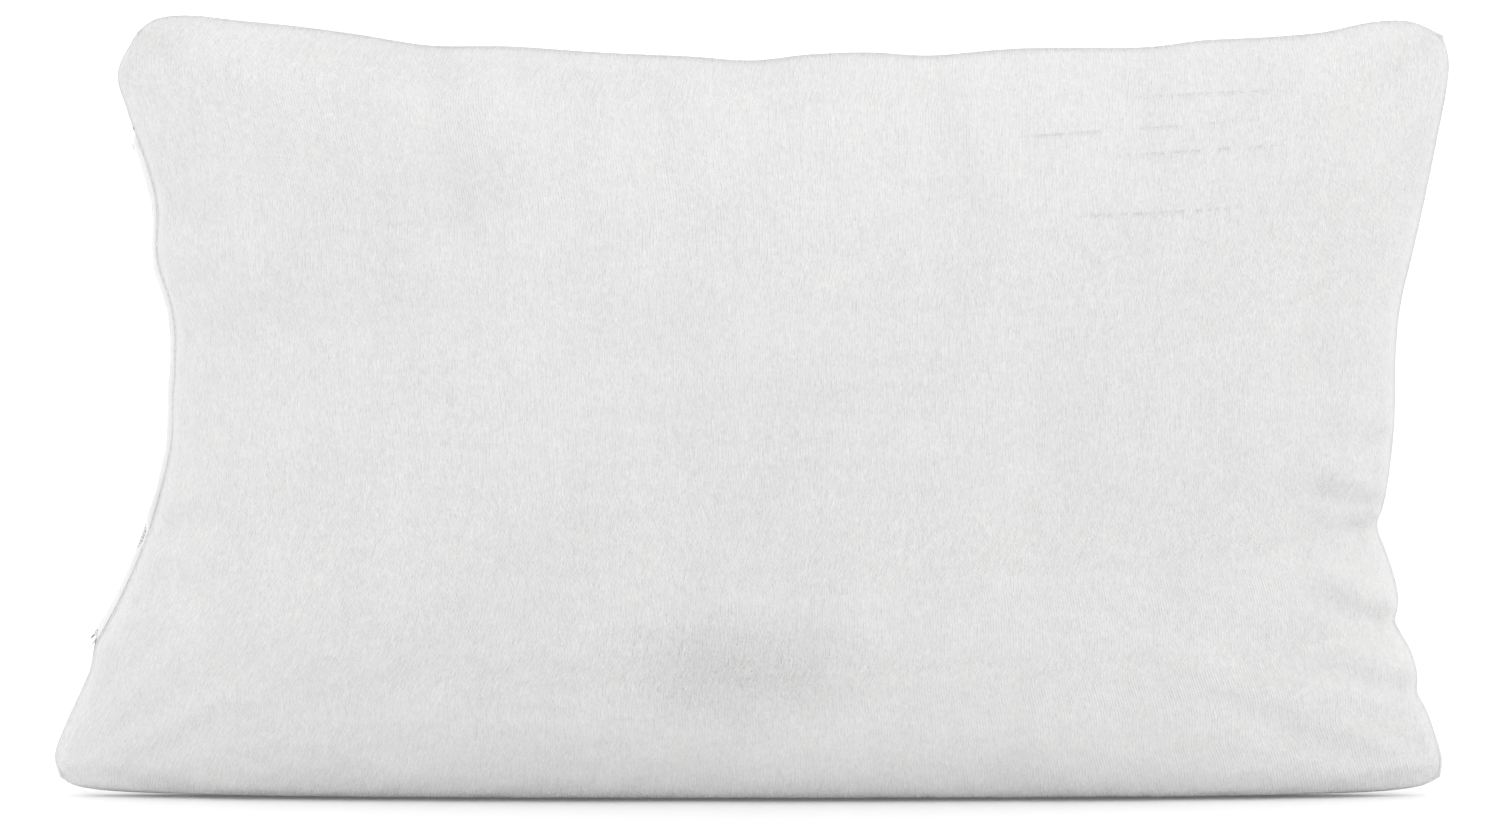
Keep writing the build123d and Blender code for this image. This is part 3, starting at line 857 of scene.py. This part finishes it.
def bar_tacks():
    """Close zigzag stitches across each end of the window."""
    tacks = []
    for angle in (ZIP_LOW - 0.16, ZIP_HIGH + 0.16):
        turns = 26
        spread = np.radians(0.28) * ZIP_RADIUS
        across = np.linspace(-1.0 * MM, WINDOW - 1.0 * MM, 2 * turns + 1)
        side = np.where(np.arange(2 * turns + 1) % 2 == 0, -0.5, 0.5) * spread
        path = on_zip(ZIP_RADIUS - 0.2 * MM, across, angle + np.degrees(side / ZIP_RADIUS))
        tacks.append(tube("tack", path, 0.28 * MM, MATERIALS["thread"]))
    return join("bar_tacks", tacks)


soft_inside()
dress_frame()
seam_threads()
finish_piece(lip(), "pillow", "lip_fabric", "zip_lip")
finish_piece(tape("tape_front", TAPE_START, ZIP_MIDDLE - TAPE_GAP), "pillow", "tape", "zip_tape_front")
finish_piece(tape("tape_back", ZIP_MIDDLE + TAPE_GAP, TAPE_END), "pillow", "tape", "zip_tape_back")
for side, node in ((-1, "zip_coil_front"), (1, "zip_coil_back")):
    piece = tube(node.replace("zip_", "") + "_wire", coil(side), COIL_WIRE, MATERIALS["nylon"])
    finish_piece(piece, "pillow", "nylon", node)
finish_piece(stitch_rows(), "pillow", "thread", "zip_stitches")
finish_piece(bar_tacks(), "pillow", "thread", "zip_bartacks")


# The camera, the floor and the light

VIEW_WIDTH = 756 * MM
AIM = Vector((0.75 * MM, 0, 192 * MM))
DISTANCE = 3.2
ELEVATION = 3.0
WALL_GLOW, FLOOR_GLOW = 0.25, 0.06
COVE_REACH, COVE_BEND, COVE_HEIGHT, COVE_SIDES = 9.0, 2.0, 8.0, 64
WORLD_STRENGTH = 0.4
SKY_STRENGTH, SKY_ANGLE, SKY_TILT = 1.81, 110, (8, 10, 0)
KEY_PLACE, KEY_AIM, KEY_SIZE, KEY_POWER = (1.2, -1.3, 2.5), (0, 0, 0.2), 1.2, 6


def facing(place, aim):
    """The rotation that turns a camera or a lamp at one place towards another."""
    return (Vector(aim) - Vector(place)).to_track_quat("-Z", "Y").to_euler()


def stand_camera():
    data = bpy.data.cameras.new("camera")
    data.sensor_width = 36
    data.lens = 36 * DISTANCE / VIEW_WIDTH
    camera = bpy.data.objects.new("camera", data)
    tilt = np.radians(ELEVATION)
    camera.location = AIM + Vector((0, -DISTANCE * np.cos(tilt), DISTANCE * np.sin(tilt)))
    camera.rotation_euler = facing(camera.location, AIM)
    bpy.context.collection.objects.link(camera)
    bpy.context.scene.camera = camera


def lay_cove():
    """A plain white floor that curves up into a round wall, which glows more higher up."""
    n = Nodes("cove", (0.9, 0.9, 0.9), 0.9, 0.1)
    _, _, z = n.split(n.place())
    glow = n.math("MULTIPLY_ADD", n.math("MINIMUM", z, 0.5), WALL_GLOW / 0.5, FLOOR_GLOW)
    n.set(n.shader, Emission_Color=(1, 1, 1, 1), Emission_Strength=glow)
    quarter = np.linspace(0, np.pi / 2, 13)
    curve = [(COVE_REACH + COVE_BEND * (np.sin(a) - 1), COVE_BEND * (1 - np.cos(a))) for a in quarter]
    profile = [*curve, (COVE_REACH, COVE_HEIGHT)]
    turn = np.linspace(0, 2 * np.pi, COVE_SIDES, endpoint=False)
    points = [(r * np.cos(a), r * np.sin(a), z) for r, z in profile for a in turn]
    faces = [*ring_faces(len(profile), COVE_SIDES), tuple(range(COVE_SIDES))]
    new_object("cove", points, faces, n.material, smooth=False)


def add_lamp(name, data, rotation, place=(0, 0, 0)):
    lamp = bpy.data.objects.new(name, data)
    lamp.location = place
    lamp.rotation_euler = rotation
    bpy.context.collection.objects.link(lamp)


def light_studio():
    """Even light from all round, a very wide soft sun and one weak lamp high on the right."""
    world = bpy.data.worlds.new("studio")
    world.use_nodes = True
    background = world.node_tree.nodes["Background"]
    background.inputs["Color"].default_value = (1, 1, 1, 1)
    background.inputs["Strength"].default_value = WORLD_STRENGTH
    bpy.context.scene.world = world
    sky = bpy.data.lights.new("sky", "SUN")
    sky.energy = SKY_STRENGTH
    sky.angle = np.radians(SKY_ANGLE)
    add_lamp("sky", sky, np.radians(SKY_TILT))
    key = bpy.data.lights.new("key", "AREA")
    key.shape = "DISK"
    key.size = KEY_SIZE
    key.energy = KEY_POWER
    add_lamp("key", key, facing(KEY_PLACE, KEY_AIM), KEY_PLACE)
    bpy.context.scene.view_settings.view_transform = "Standard"
    bpy.context.scene.view_settings.look = "None"


stand_camera()
lay_cove()
light_studio()
